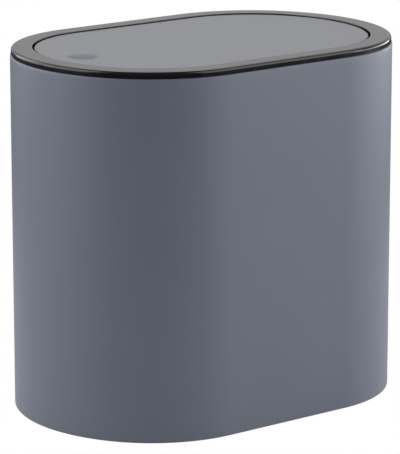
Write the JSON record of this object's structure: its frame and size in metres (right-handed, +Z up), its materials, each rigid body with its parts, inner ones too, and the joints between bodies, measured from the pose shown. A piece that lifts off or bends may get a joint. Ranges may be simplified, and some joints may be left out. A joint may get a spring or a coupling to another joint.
{
  "type": "swing-lid bin",
  "caption": "Oval painted-steel waste bin with a self-levelling swing lid in a lift-off black ring, and a lift-out bucket with a wire bail.",
  "frame": {"origin": "on the floor, under the middle of the bin", "axes": "+Z up; +X along the bin's length, away from the lid's thumb dimple; +Y across it"},
  "size_m": [0.252, 0.172, 0.2292],
  "materials": {
    "body_paint": "satin grey-blue enamel on steel sheet",
    "pan_steel": "plain coated steel sheet",
    "base_plastic": "matt black polypropylene",
    "rubber": "soft black rubber",
    "ring_plastic": "satin black ABS",
    "bush_plastic": "black acetal",
    "lid_paint": "satin light grey enamel",
    "fastener_steel": "zinc-plated steel",
    "bucket_plastic": "dark grey moulded polypropylene",
    "wire_steel": "bright plated wire"
  },
  "bodies": {
    "body": {"body_sleeve": "body_paint", "bottom_pan": "pan_steel", "base_ring": "base_plastic", "base_rivets": "base_plastic", "foot_pad_1": "rubber", "foot_pad_2": "rubber", "foot_pad_3": "rubber", "foot_pad_4": "rubber"},
    "ring": {"rim_ring": "ring_plastic", "pivot_bush_front": "bush_plastic", "pivot_bush_back": "bush_plastic", "rest_bumper_front": "rubber", "rest_bumper_back": "rubber"},
    "lid": {"lid_panel": "lid_paint", "lid_base": "base_plastic", "lid_screws": "fastener_steel", "counterweight": "fastener_steel", "pivot_pin_front": "fastener_steel", "pivot_pin_back": "fastener_steel"},
    "bucket": {"inner_bucket": "bucket_plastic"},
    "bail": {"bail_wire": "wire_steel", "bail_grip": "base_plastic"}
  },
  "joints": [
    {"name": "ring_lift", "type": "slide", "parent": "body", "child": "ring", "axis": [0, 0, 1], "range_m": [0, 0.46]},
    {"name": "lid_swing", "type": "hinge", "parent": "ring", "child": "lid", "pos_m": [0, 0, 0.22103], "axis": [0, -1, 0], "range_deg": [0, 70]},
    {"name": "bucket_lift", "type": "slide", "parent": "body", "child": "bucket", "axis": [0, 0, 1], "range_m": [0, 0.23]},
    {"name": "bail_swing", "type": "hinge", "parent": "bucket", "child": "bail", "pos_m": [0, 0, 0.20662], "axis": [0, -1, 0], "range_deg": [0, 90]}
  ],
  "couplings": [
    {"joint": "bucket_lift", "follows": "ring_lift", "ratio": 0.5},
    {"joint": "bail_swing", "follows": "ring_lift", "rad_per_m": 3.4148}
  ]
}
